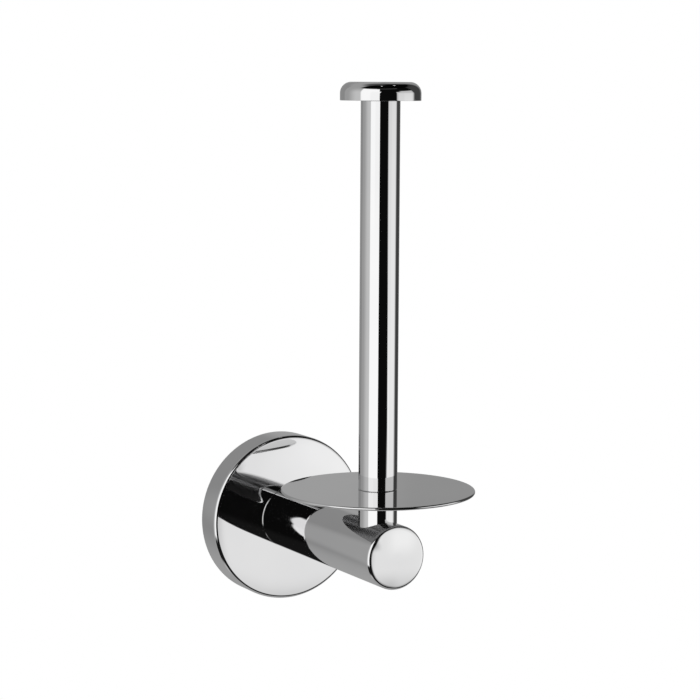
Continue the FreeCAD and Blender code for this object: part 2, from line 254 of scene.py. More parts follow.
def peg(
        middle: Point, run: Run, radius: float, length: float,
        sides: int = SMALL_SIDES) -> Object:
    """Makes a round or many-sided tool for cutting holes.

    Args:
        middle: Place of the tool's middle.
        run: Direction of its axis.
        radius: Radius to its corners.
        length: Length along its axis.
        sides: Number of its sides.

    Returns:
        The tool.
    """
    clear_bench()
    bpy.ops.mesh.primitive_cylinder_add(
        vertices=sides, radius=radius * MM, depth=length * MM,
        location=Vector(middle) * MM, rotation=run.value)
    return bpy.context.object


def block(low: Point, high: Point) -> Object:
    """Makes a square tool between two corners.

    Args:
        low: The lowest corner.
        high: The highest corner.

    Returns:
        The tool.
    """
    clear_bench()
    low_corner, high_corner = Vector(low) * MM, Vector(high) * MM
    bpy.ops.mesh.primitive_cube_add(
        size=1, location=(low_corner + high_corner) / 2, scale=high_corner - low_corner)
    return bpy.context.object


def carve(piece: Object, tool: Object, action: Carve = Carve.CUT) -> None:
    """Cuts a tool's shape from a piece, or adds it, and puts the tool away.

    Args:
        piece: The piece that is worked on.
        tool: The shape that works on it.
        action: What the tool does.
    """
    take_up(piece)
    modifier = piece.modifiers.new("carve", "BOOLEAN")
    modifier.operation = action.value
    modifier.solver = "EXACT"
    modifier.object = tool
    bpy.ops.object.modifier_apply(modifier=modifier.name)
    shape = tool.data
    bpy.data.objects.remove(tool)
    bpy.data.meshes.remove(shape)


def break_edges(piece: Object, width: float, steps: int) -> None:
    """Takes the sharpness off every hard edge of a piece.

    Args:
        piece: The piece to finish.
        width: Width of the broken edge.
        steps: Number of faces across it.
    """
    take_up(piece)
    modifier = piece.modifiers.new("edges", "BEVEL")
    modifier.width = width * MM
    modifier.segments = steps
    modifier.limit_method = "ANGLE"
    modifier.angle_limit = SMOOTH_ANGLE
    modifier.use_clamp_overlap = True
    bpy.ops.object.modifier_apply(modifier=modifier.name)


def wind_thread(piece: Object, low: float, high: float, radius: float, pitch: float) -> None:
    """Cuts a screw thread into the plain shank of an upright turned piece.

    Args:
        piece: The piece, with one plain band between the two heights.
        low: Height where the thread starts.
        high: Height where the thread ends.
        radius: Outer radius of the thread.
        pitch: Rise of one turn.
    """
    rows_per_turn, depth_share, crest_share = 10, 0.58, 0.2

    def upright(one: Vector, two: Vector) -> bool:
        """Says whether an edge runs straight up the shank from end to end."""
        start, stop = sorted((one.z, two.z))
        end_to_end = abs(start - low) < NEAR and abs(stop - high) < NEAR
        return end_to_end and one.xy.length > radius - NEAR

    with editing(piece):
        pick_edges(piece, upright)
        bpy.ops.mesh.subdivide(number_cuts=round((high - low) / pitch * rows_per_turn))
    for point in piece.data.vertices:
        reach, height = point.co.xy.length / MM, point.co.z / MM
        if abs(reach - radius) > NEAR or not low + NEAR < height < high - NEAR:
            continue
        turn = (height / pitch - math.atan2(point.co.y, point.co.x) / math.tau) % 1
        groove = max(0.0, 1 - abs(2 * turn - 1) - crest_share) / (1 - crest_share)
        run_out = min(1.0, (height - low) / pitch, (high - height) / pitch)
        point.co.xy *= 1 - depth_share * pitch * groove * run_out / radius


def polish(piece: Object) -> None:
    """Clears slivers, smooths the shading of curved faces and keeps the flat ones flat.

    Args:
        piece: The piece to finish.
    """
    with editing(piece):
        bpy.ops.mesh.select_all(action="SELECT")
        bpy.ops.mesh.dissolve_degenerate(threshold=SLIVER)
    take_up(piece)
    bpy.ops.object.shade_smooth_by_angle(angle=SMOOTH_ANGLE)
    modifier = piece.modifiers.new("flats", "WEIGHTED_NORMAL")
    modifier.keep_sharp = True
    modifier.weight = FLAT_WEIGHT
    bpy.ops.object.modifier_apply(modifier=modifier.name)


class NodeBoard:
    """A node tree with short ways to add and join nodes."""

    def __init__(self, tree: bpy.types.NodeTree) -> None:
        """Takes over a tree and empties it.

        Args:
            tree: The tree of a material or a world.
        """
        self.tree = tree
        tree.nodes.clear()

    def add(self, kind: str, **settings: object) -> bpy.types.Node:
        """Adds a node.

        Args:
            kind: The node's type name.
            settings: Properties to set on it.

        Returns:
            The node.
        """
        node = self.tree.nodes.new(kind)
        for name, value in settings.items():
            setattr(node, name, value)
        return node

    def feed(self, socket: Socket, source: Socket | float | Sequence[float]) -> None:
        """Links a source to a socket, or sets it there if it is a plain value.

        Args:
            socket: The socket that takes the source.
            source: Another node's output, a number or a colour.
        """
        if isinstance(source, bpy.types.NodeSocket):
            self.tree.links.new(source, socket)
        else:
            socket.default_value = source

    def math(self, operation: str, *terms: Socket | float) -> Socket:
        """Adds a Math node.

        Args:
            operation: What it does.
            terms: What it works on.

        Returns:
            Its result.
        """
        node = self.add("ShaderNodeMath", operation=operation)
        for socket, term in zip(node.inputs, terms):
            self.feed(socket, term)
        return node.outputs[0]

    def span(self, value: Socket, source: Ring, target: Ring, soft: bool = False) -> Socket:
        """Maps one range of numbers to another, held at both ends.

        Args:
            value: The number to map.
            source: The range it comes from.
            target: The range it goes to.
            soft: Whether it eases in and out.

        Returns:
            The mapped number.
        """
        kind = "SMOOTHSTEP" if soft else "LINEAR"
        node = self.add("ShaderNodeMapRange", interpolation_type=kind)
        for socket, number in zip(node.inputs, (value, *source, *target)):
            self.feed(socket, number)
        return node.outputs[0]

    def noise(self, place: Socket, scale: float, detail: float = 2.0) -> Socket:
        """Adds a Noise Texture.

        Args:
            place: The coordinates that it reads.
            scale: How many grains it has to the metre.
            detail: How fine it goes on.

        Returns:
            Its grey value.
        """
        node = self.add("ShaderNodeTexNoise")
        self.feed(node.inputs["Vector"], place)
        node.inputs["Scale"].default_value = scale
        node.inputs["Detail"].default_value = detail
        return node.outputs["Fac"]

    def bump(self, height: Socket, depth: float, under: Socket | None = None) -> Socket:
        """Adds a Bump node.

        Args:
            height: The relief, from 0 to 1.
            depth: How deep the relief is, in millimetres.
            under: Normal of a relief that this one lies on.

        Returns:
            The normal.
        """
        node = self.add("ShaderNodeBump")
        node.inputs["Distance"].default_value = depth * MM
        self.feed(node.inputs["Height"], height)
        if under is not None:
            self.feed(node.inputs["Normal"], under)
        return node.outputs["Normal"]


@dataclass(frozen=True)
class MetalFinish:
    """A bare or plated metal, with mottled tone, uneven gloss and a fine relief.

    Mottle and grain are counted to the metre, the gloss is a range of roughness and the depths
    are in millimetres.
    """

    name: str
    slot: Slot
    dark: Colour
    light: Colour
    mottle: float
    gloss: Ring
    grain: float
    grain_depth: float

    def material(self) -> Material:
        """Gives the finish's material, made the first time it is asked for."""
        return bpy.data.materials.get(self.name) or self.mix()

    def mix(self) -> Material:
        """Makes the finish's material.

        Returns:
            The new material.
        """
        material = bpy.data.materials.new(self.name)
        material.use_nodes = True
        board = NodeBoard(material.node_tree)
        place = board.add("ShaderNodeTexCoord").outputs["Object"]
        shader = board.add("ShaderNodeBsdfPrincipled")
        shader.inputs["Metallic"].default_value = 1.0
        tone = board.add("ShaderNodeMix", data_type="RGBA")
        mottle = board.noise(place, self.mottle)
        board.feed(tone.inputs["Factor"], board.span(mottle, NOISE_RANGE, (0, 1)))
        tone.inputs["A"].default_value = (*self.dark, 1)
        tone.inputs["B"].default_value = (*self.light, 1)
        board.feed(shader.inputs["Base Color"], tone.outputs["Result"])
        haze = board.noise(place, self.grain, FINE_DETAIL)
        board.feed(shader.inputs["Roughness"], board.span(haze, NOISE_RANGE, self.gloss))
        board.feed(shader.inputs["Normal"], self.relief(board, place))
        output = board.add("ShaderNodeOutputMaterial")
        board.feed(output.inputs["Surface"], shader.outputs["BSDF"])
        return material

    def relief(self, board: NodeBoard, place: Socket) -> Socket:
        """Gives the surface its fine relief.

        Args:
            board: The material's nodes.
            place: Coordinates on the piece.

        Returns:
            The normal of the relief.
        """
        return board.bump(board.noise(place, self.grain), self.grain_depth)


@dataclass(frozen=True)
class PolishedChrome(MetalFinish):
    """Bright chrome plating, with the faint waviness that buffing leaves."""

    name: str = "polished_chrome"
    slot: Slot = Slot.CHROME
    dark: Colour = (0.785, 0.785, 0.79)
    light: Colour = (0.815, 0.815, 0.815)
    mottle: float = 45.0
    gloss: Ring = (0.015, 0.035)
    grain: float = 700.0
    grain_depth: float = 0.00004
    wave: float = 70.0
    wave_depth: float = 0.002

    def relief(self, board: NodeBoard, place: Socket) -> Socket:
        """Lays the fine grain over the broad waves of the buffing.

        Args:
            board: The material's nodes.
            place: Coordinates on the piece.

        Returns:
            The normal of the relief.
        """
        waves = board.bump(board.noise(place, self.wave, 0.0), self.wave_depth)
        return board.bump(board.noise(place, self.grain), self.grain_depth, waves)


@dataclass(frozen=True)
class SatinChromePaintedShade(MetalFinish):
    """Chrome on ground, unbuffed faces: rougher, and darker as painted shade."""

    name: str = "satin_chrome_painted_shade"
    slot: Slot = Slot.CHROME
    # A base colour about half that of polished chrome: painted shade under and inside the pieces.
    dark: Colour = (0.4, 0.4, 0.405)
    light: Colour = (0.46, 0.46, 0.465)
    mottle: float = 120.0
    gloss: Ring = (0.28, 0.36)
    grain: float = 1800.0
    grain_depth: float = 0.002


@dataclass(frozen=True)
class ZincPlate(MetalFinish):
    """Satin zinc plating on a pressed plate."""

    name: str = "satin_zinc"
    slot: Slot = Slot.ZINC
    dark: Colour = (0.56, 0.58, 0.61)
    light: Colour = (0.68, 0.70, 0.71)
    mottle: float = 260.0
    gloss: Ring = (0.26, 0.42)
    grain: float = 1600.0
    grain_depth: float = 0.012


@dataclass(frozen=True)
class PlainSteel(MetalFinish):
    """Rolled and turned stainless steel of the screws."""

    name: str = "rolled_steel"
    slot: Slot = Slot.STEEL
    dark: Colour = (0.49, 0.49, 0.50)
    light: Colour = (0.61, 0.61, 0.62)
    mottle: float = 900.0
    gloss: Ring = (0.2, 0.36)
    grain: float = 2600.0
    grain_depth: float = 0.006


@dataclass(frozen=True)
class TurnedBrass(MetalFinish):
    """Turned brass with the tool's rings round it."""

    name: str = "turned_brass"
    slot: Slot = Slot.BRASS
    dark: Colour = (0.72, 0.56, 0.27)
    light: Colour = (0.83, 0.67, 0.36)
    mottle: float = 400.0
    gloss: Ring = (0.18, 0.32)
    grain: float = 2000.0
    grain_depth: float = 0.004
    rings: float = 600.0
    ring_depth: float = 0.01

    def relief(self, board: NodeBoard, place: Socket) -> Socket:
        """Lays the grain over the rings that the turning tool leaves.

        Args:
            board: The material's nodes.
            place: Coordinates on the piece.

        Returns:
            The normal of the relief.
        """
        rings = board.add("ShaderNodeTexWave", wave_type="BANDS", bands_direction="Z")
        board.feed(rings.inputs["Vector"], place)
        rings.inputs["Scale"].default_value = self.rings
        under = board.bump(rings.outputs["Fac"], self.ring_depth)
        return board.bump(board.noise(place, self.grain), self.grain_depth, under)


CHROME = PolishedChrome()
SATIN_PAINTED_SHADE = SatinChromePaintedShade()
ZINC = ZincPlate()
STEEL = PlainSteel()
BRASS = TurnedBrass()


def dress(piece: Object, finish: MetalFinish) -> None:
    """Gives a piece its finish.

    Args:
        piece: A new piece, or a solid that stays.
        finish: The finish that it gets.
    """
    piece.data.materials.clear()
    piece.data.materials.append(finish.material())


def hand_over(piece: Object, node: str, body: Body, finish: MetalFinish) -> None:
    """Puts a finished piece in the place of a solid.

    Args:
        piece: The new piece.
        node: Name of the solid that it stands for.
        body: The body that it rides on.
        finish: The finish that it gets.
    """
    polish(piece)
    dress(piece, finish)
    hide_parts(node)
    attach(piece, body.value)
    LOG.info("%s stands for %s: %d faces", piece.name, node, len(piece.data.polygons))


def dull_and_paint_shade(piece: Object, hidden: Callable[[Vector], bool]) -> None:
    """Leaves the hidden faces of a chromed piece unbuffed and paints shade on them in a darker base
    colour.

    Args:
        piece: The chromed piece, in its place.
        hidden: Says of a face's middle, in millimetres, whether it is a hidden one.
    """
    # The second material, satin chrome, is darker as painted shade on the hidden faces.
    piece.data.materials.append(SATIN_PAINTED_SHADE.material())
    for face in piece.data.polygons:
        face.material_index = int(hidden(face.center / MM))


def keep(node: str, finish: MetalFinish) -> None:
    """Dresses a solid that stays as it is.

    Args:
        node: Name of the solid.
        finish: The finish that it gets.
    """
    dress(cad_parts[node], finish)
    LOG.info("%s stays", node)


@dataclass
class WallPlate:
    """Dished plate that stays on the wall, with two slots for its screws and a flat below."""

    radius: float = 24.75
    floor: float = 2.5
    height: float = 6.0
    rim: float = 4.5
    lead_in: float = 0.6
    eye: float = 8.0
    flat: float = 22.2
    slot_width: float = 4.5
    slot_length: float = 8.0
    slot_spacing: float = 31.0
    edge: float = 0.15

    def build(self) -> Object:
        """Turns the dish, takes off the flat and cuts the slots."""
        inside = self.radius - self.rim
        plate = turned("wall_plate_dish", [
            (self.eye, 0), (self.radius, 0), (self.radius, self.height - self.lead_in),
            (self.radius - self.lead_in, self.height), (inside, self.height),
            (inside, self.floor), (self.eye, self.floor),
        ], hollow=True)
        settle(plate, Run.OUT_FROM_WALL)
        with editing(plate):
            bpy.ops.mesh.select_all(action="SELECT")
            bpy.ops.mesh.bisect(
                plane_co=(0, 0, -self.flat * MM), plane_no=(0, 0, -1),
                use_fill=True, clear_outer=True)
        for side in (-1, 1):
            carve(plate, self.slot_tool(side * self.slot_spacing / 2))
        break_edges(plate, self.edge, steps=2)
        return plate

    def slot_tool(self, x: float) -> Object:
        """Draws a round tool out sideways to the shape of a slot.

        Args:
            x: Place of the slot's middle.

        Returns:
            The tool.
        """
        tool = peg((x, -self.floor / 2, 0), Run.OUT_FROM_WALL, self.slot_width / 2, self.floor * 3)
        half = (self.slot_length - self.slot_width) / 2
        for side in (-1, 1):
            with editing(tool):
                pick_points(tool, lambda point: (point.x - x) * side > NEAR)
                bpy.ops.transform.translate(value=(side * half * MM, 0, 0))
        return tool

    def dress(self, plate: Object) -> None:
        """Hands the plate over in zinc plating."""
        hand_over(plate, "wall_plate", Body.WALL_PLATE, ZINC)


@dataclass
class Rosette:
    """Round cover cup with the boss and the set screw that lock it to the wall plate."""

    radius: float = 27.5
    depth: float = 10.0
    wall: float = 2.5
    face: float = 2.5
    front_round: float = 1.0
    front_crown: float = 0.2
    crown_power: int = 6
    crown_rings: tuple[float, ...] = tuple(step / 50 for step in range(14, 49, 2))
    inner_round: float = 0.6
    edge: float = 0.15
    arm_hole: float = 3.2
    pin_hole: float = 1.55
    pin_height: float = 6.6
    boss_width: float = 10.0
    boss_depth: float = 2.4
    boss_recess: float = 0.5
    screw_offset: float = 4.0
    screw_radius: float = 2.0
    screw_play: float = 0.05
    screw_ends: Ring = (-27.25, -22.25)
    screw_bevel: float = 0.35
    screw_tip: float = 1.2
    screw_pitch: float = 0.7
    screw_key: float = 2.0
    screw_socket: float = 2.0

    def build_cup(self) -> Object:
        """Turns the cup, adds the boss and drills it for the set screw and the pin."""
        cavity, back = self.radius - self.wall, self.depth - self.face
        edge = self.depth - self.front_crown
        crown = [
            (self.radius * share, self.depth - self.front_crown * share ** self.crown_power)
            for share in self.crown_rings
        ]
        cup = turned("rosette_cup", [
            (self.arm_hole, back), (self.arm_hole, self.depth), *crown, (self.radius, edge),
            (self.radius, 0), (cavity, 0), (cavity, back),
        ], hollow=True)
        soften(cup, [(self.radius, edge)], self.front_round, steps=10)
        soften(cup, [(cavity, back)], self.inner_round, steps=4)
        soften(cup, [(self.radius, 0), (cavity, 0)], self.edge, steps=2)
        settle(cup, Run.OUT_FROM_WALL)
        boss = block(
            (-self.boss_width / 2, -back - self.face / 2, -cavity - self.wall / 2),
            (self.boss_width / 2, -self.boss_recess, self.boss_depth - cavity))
        break_edges(boss, self.inner_round, steps=3)
        carve(cup, boss, Carve.ADD)
        middle = sum(self.screw_ends) / 2
        tapped = self.screw_radius + self.screw_play
        carve(cup, peg((0, -self.screw_offset, middle), Run.UP, tapped, self.radius / 2))
        pin_middle = (0, -back - self.face / 2, self.pin_height)
        carve(cup, peg(pin_middle, Run.OUT_FROM_WALL, self.pin_hole, self.face * 2))
        return cup

    def build_screw(self) -> Object:
        """Turns the headless set screw, winds its thread and sinks its hexagon socket."""
        low, high = self.screw_ends
        shank = (low + self.screw_bevel, high + self.screw_tip - self.screw_radius)
        screw = turned("set_screw_headless", [
            (self.screw_radius - self.screw_bevel, low), (self.screw_radius, shank[0]),
            (self.screw_radius, shank[1]), (self.screw_tip, high),
            (self.screw_tip / 4, high - self.screw_tip / 2),
        ], hollow=False, sides=SMALL_SIDES)
        wind_thread(screw, *shank, self.screw_radius, self.screw_pitch)
        carve(screw, hex_key((0, 0, low), Run.UP, self.screw_key, self.screw_socket))
        settle(screw, shift=(0, -self.screw_offset, 0))
        return screw

    def is_inside(self, point: Vector) -> bool:
        """Says whether a point is on the inside of the cup, which the wall hides."""
        within = math.hypot(point.x, point.z) < self.radius - self.wall + NEAR
        return within and point.y > self.face - self.depth - NEAR

    def dress(self, cup: Object, screw: Object) -> None:
        """Hands over the cup in chrome, unbuffed and darker inside as painted shade, and the set
        screw in steel.
        """
        hand_over(cup, "rosette", Body.HOLDER, CHROME)
        # The cup's inside gets painted shade in the darker satin chrome.
        dull_and_paint_shade(cup, self.is_inside)
        hand_over(screw, "set_screw", Body.SET_SCREW, STEEL)


def hex_key(end: Point, run: Run, across: float, depth: float) -> Object:
    """Makes the tool for a hexagon socket.

    Args:
        end: Middle of the face that the socket is sunk into.
        run: Direction of the socket.
        across: Width across the flats.
        depth: Depth of the socket.

    Returns:
        The tool.
    """
    return peg(end, run, across / math.sqrt(3), depth * 2, sides=6)


@dataclass
class Arm:
    """Round bar from the rosette to the post, with the screw, washer and pin behind it."""

    radius: float = 10.0
    root: float = 10.0
    reach: float = 80.5
    crown: float = 0.36
    crown_rings: tuple[float, ...] = (0.86, 0.7, 0.54, 0.38, 0.22, 0.08)
    end_round: float = 0.9
    root_bevel: float = 0.3
    thread: float = 3.0
    thread_play: float = 0.05
    thread_pitch: float = 1.0
    hole_end: float = 22.8
    post_offset: float = 68.5
    seat_radius: float = 6.05
    seat_height: float = 4.0
    seat_margin: float = 2.0
    stud_hole_end: float = -6.8
    pin_hole: float = 1.55
    pin_height: float = 6.6
    pin_hole_end: float = 16.6
    screw_rear: float = 2.7
    screw_head: float = 5.25
    head_height: float = 3.3
    head_round: float = 1.8
    screw_end: float = 22.0
    screw_bevel: float = 0.6
    screw_key: float = 4.0
    screw_socket: float = 2.0
    washer_bore: float = 3.2
    washer_radius: float = 5.1
    washer_thickness: float = 1.5
    washer_split: float = 0.87
    split_margin: float = 1.0
    split_lean: float = 25.0
    washer_edge: float = 0.12

    def build_bar(self) -> Object:
        """Turns the bar with its slightly crowned end and bores it for post, screw and pin."""
        tapped = self.thread + self.thread_play
        margin = self.seat_radius + self.seat_margin
        near_post = (self.post_offset - margin, self.post_offset + margin)
        edge = self.reach - self.crown
        crown = [
            (self.radius * share, self.reach - self.crown * share * share)
            for share in self.crown_rings
        ]
        bar = turned("arm_bar", [
            (tapped, self.hole_end), (tapped, self.root), (self.radius, self.root),
            *((self.radius, height) for height in near_post), (self.radius, edge), *crown,
        ], hollow=False)
        soften(bar, [(self.radius, edge)], self.end_round, steps=10)
        soften(bar, [(self.radius, self.root)], self.root_bevel, steps=3)
        settle(bar, Run.OUT_FROM_WALL)
        seat_middle = (0, -self.post_offset, self.seat_height + self.radius)
        carve(bar, peg(seat_middle, Run.UP, self.seat_radius, self.radius * 2, SIDES))
        stud_middle = (0, -self.post_offset, (self.stud_hole_end + self.radius) / 2)
        carve(bar, peg(stud_middle, Run.UP, tapped, self.radius - self.stud_hole_end))
        pin_length = 2 * (self.pin_hole_end - self.root)
        pin_middle = (0, -self.root, self.pin_height)
        carve(bar, peg(pin_middle, Run.OUT_FROM_WALL, self.pin_hole, pin_length))
        return bar

    def build_screw(self) -> Object:
        """Turns the button-head screw, winds its thread and sinks its hexagon socket."""
        bearing = self.screw_rear + self.head_height
        shank = (bearing + self.thread_pitch, self.screw_end - self.screw_bevel)
        screw = turned("arm_screw_button_head", [
            (self.screw_head, self.screw_rear), (self.screw_head, bearing), (self.thread, bearing),
            (self.thread, shank[0]), (self.thread, shank[1]),
            (self.thread - self.screw_bevel, self.screw_end),
        ], hollow=False, sides=SMALL_SIDES)
        soften(screw, [(self.screw_head, self.screw_rear)], self.head_round, steps=10)
        wind_thread(screw, *shank, self.thread, self.thread_pitch)
        carve(screw, hex_key((0, 0, self.screw_rear), Run.UP, self.screw_key, self.screw_socket))
        settle(screw, Run.OUT_FROM_WALL)
        return screw

    def build_washer(self) -> Object:
        """Turns the spring washer and splits it below on the slant."""
        low = self.screw_rear + self.head_height
        high = low + self.washer_thickness
        washer = turned("spring_washer", [
            (self.washer_bore, low), (self.washer_radius, low),
            (self.washer_radius, high), (self.washer_bore, high),
        ], hollow=True, sides=SMALL_SIDES)
        half = self.washer_split / 2
        split = block(
            (-half, -self.washer_radius * 2, low - self.split_margin),
            (half, 0, high + self.split_margin))
        with editing(split):
            bpy.ops.mesh.select_all(action="SELECT")
            bpy.ops.transform.rotate(
                value=math.radians(self.split_lean), orient_axis="Y",
                center_override=(0, 0, (low + high) / 2 * MM))
        carve(washer, split)
        break_edges(washer, self.washer_edge, steps=2)
        settle(washer, Run.OUT_FROM_WALL)
        return washer

    def dress(self, bar: Object, screw: Object, washer: Object) -> None:
        """Hands over the bar in chrome and its fixings in steel."""
        hand_over(bar, "arm", Body.HOLDER, CHROME)
        hand_over(screw, "arm_screw", Body.HOLDER, STEEL)
        hand_over(washer, "lock_washer", Body.HOLDER, STEEL)
        keep("locating_pin", STEEL)


@dataclass
class Post:
    """Foot, rest disc, tube and cap, one above the other on the arm."""

    offset: float = 68.5
    radius: float = 6.0
    bore: float = 5.0
    pass_hole: float = 3.2
    foot_low: float = 4.0
    disc_radius: float = 30.0
    disc_low: float = 18.5
    disc_top: float = 19.5
    disc_round: float = 0.49
    register_radius: float = 6.05
    register_floor: float = 19.25
    tube_top: float = 138.5
    tube_edge: float = 0.2
    tube_foot_round: float = 0.6
    cap_radius: float = 12.3
    cap_top: float = 144.1
    cap_round: float = 3.4
    cap_edge: float = 0.12
    cap_middle: float = 1.0
    spigot_radius: float = 3.0
    spigot_low: float = 128.5
    spigot_bevel: float = 0.6
    spigot_pitch: float = 1.0

    def build_foot(self) -> Object:
        """Turns the short sleeve that stands in the arm."""
        foot = turned("post_foot_sleeve", [
            (self.pass_hole, self.foot_low), (self.pass_hole, self.disc_low),
            (self.radius, self.disc_low), (self.radius, self.foot_low),
        ], hollow=True)
        ends = [(self.radius, self.disc_low), (self.radius, self.foot_low)]
        soften(foot, ends, self.tube_edge, steps=3)
        return self.stood(foot)

    def build_disc(self) -> Object:
        """Turns the thin disc that the roll stands on, with its seat for the tube."""
        disc = turned("rest_disc_plate", [
            (self.pass_hole, self.disc_low), (self.pass_hole, self.register_floor),
            (self.register_radius, self.register_floor), (self.register_radius, self.disc_top),
            (self.disc_radius, self.disc_top), (self.disc_radius, self.disc_low),
        ], hollow=True)
        rim = [(self.disc_radius, self.disc_top), (self.disc_radius, self.disc_low)]
        soften(disc, rim, self.disc_round, steps=6)
        return self.stood(disc)

    def build_tube(self) -> Object:
        """Turns the tube that the roll's core drops over."""
        tube = turned("post_tube_drawn", [
            (self.bore, self.register_floor), (self.bore, self.tube_top),
            (self.radius, self.tube_top), (self.radius, self.register_floor),
        ], hollow=True)
        soften(tube, [(self.radius, self.tube_top)], self.tube_edge, steps=3)
        soften(tube, [(self.radius, self.register_floor)], self.tube_foot_round, steps=6)
        return self.stood(tube)

    def build_cap(self) -> Object:
        """Turns the button cap with its threaded spigot."""
        thread = (self.spigot_low + self.spigot_bevel, self.tube_top - self.spigot_pitch)
        cap = turned("top_cap_button", [
            (self.spigot_radius - self.spigot_bevel, self.spigot_low),
            (self.spigot_radius, thread[0]), (self.spigot_radius, thread[1]),
            (self.spigot_radius, self.tube_top), (self.cap_radius, self.tube_top),
            (self.cap_radius, self.cap_top), (self.cap_middle, self.cap_top),
        ], hollow=False)
        soften(cap, [(self.cap_radius, self.cap_top)], self.cap_round, steps=20)
        soften(cap, [(self.cap_radius, self.tube_top)], self.cap_edge, steps=2)
        wind_thread(cap, *thread, self.spigot_radius, self.spigot_pitch)
        return self.stood(cap)

    def stood(self, piece: Object) -> Object:
        """Stands a turned piece on the post's axis.

        Args:
            piece: The piece, upright on the origin.

        Returns:
            The same piece.
        """
        settle(piece, shift=(0, -self.offset, 0))
        return piece

    def dress(self, foot: Object, disc: Object, tube: Object, cap: Object) -> None:
        """Hands over the chrome pieces, the disc unbuffed and darker below as painted shade, and
        dresses the stud and bushes inside them.
        """
        hand_over(foot, "post_foot", Body.HOLDER, CHROME)
        hand_over(disc, "rest_disc", Body.HOLDER, CHROME)
        # The disc's underside gets painted shade in the darker satin chrome.
        dull_and_paint_shade(disc, lambda middle: middle.z < self.disc_low + NEAR)
        hand_over(tube, "post_tube", Body.HOLDER, CHROME)
        hand_over(cap, "top_cap", Body.HOLDER, CHROME)
        keep("post_stud", STEEL)
        keep("lower_bush", BRASS)
        keep("upper_bush", BRASS)


# Edges beyond any angle, for a panel that goes all round or up to the top.
ALL_ROUND = (-300, 300)
TO_TOP = 200


@dataclass(frozen=True)
class Panel:
    """A light or dark panel of the studio, by the angles at which the object sees it.

    Angles are in degrees. Azimuths go from the camera's side to the right as the camera sees it.
    Each edge is blurred by its feather to both sides, and a leaning panel shifts sideways by the
    given share of the elevation.
    """

    azimuth: Ring
    elevation: Ring
    tone: float
    side_feather: Ring = (2.0, 2.0)
    end_feather: Ring = (4.0, 4.0)
    lean: float = 0.0

    def mask(self, board: NodeBoard, azimuth: Socket, elevation: Socket) -> Socket:
        """Works out how much of the panel is seen in a direction.

        Args:
            board: The nodes of the studio's walls.
            azimuth: Azimuth of the direction, in degrees.
            elevation: Elevation of the direction, in degrees.

        Returns:
            1 on the panel, 0 off it, and soft at its edges.
        """
        across = board.math("MULTIPLY_ADD", elevation, self.lean, azimuth)
        total: Socket | float = 1.0
        for value, edges, feathers in (
                (across, self.azimuth, self.side_feather),
                (elevation, self.elevation, self.end_feather)):
            for edge, feather, target in zip(edges, feathers, ((0, 1), (1, 0))):
                share = board.span(value, (edge - feather, edge + feather), target, soft=True)
                total = board.math("MULTIPLY", total, share)
        return total


@dataclass(frozen=True)
class Viewpoint:
    """The camera's place, its turn in degrees and its lens."""

    place: Point = (-326.69, -631.20, 143.47)
    azimuth: float = -29.3613
    elevation: float = 7.084
    roll: float = 0.3253
    focal_length: float = 110.168
    sensor_width: float = 36.0
    nearest: float = 10.0

    def matrix(self) -> Matrix:
        """Gives the camera's matrix."""
        turn, tilt = math.radians(self.azimuth), math.radians(self.elevation)
        back = Vector((
            math.sin(turn) * math.cos(tilt), -math.cos(turn) * math.cos(tilt), math.sin(tilt)))
        right = Vector((math.cos(turn), math.sin(turn), 0))
        up = back.cross(right)
        axes = Matrix((right, up, back)).transposed().to_4x4()
        roll = Matrix.Rotation(math.radians(self.roll), 4, "Z")
        return Matrix.Translation(Vector(self.place) * MM) @ axes @ roll


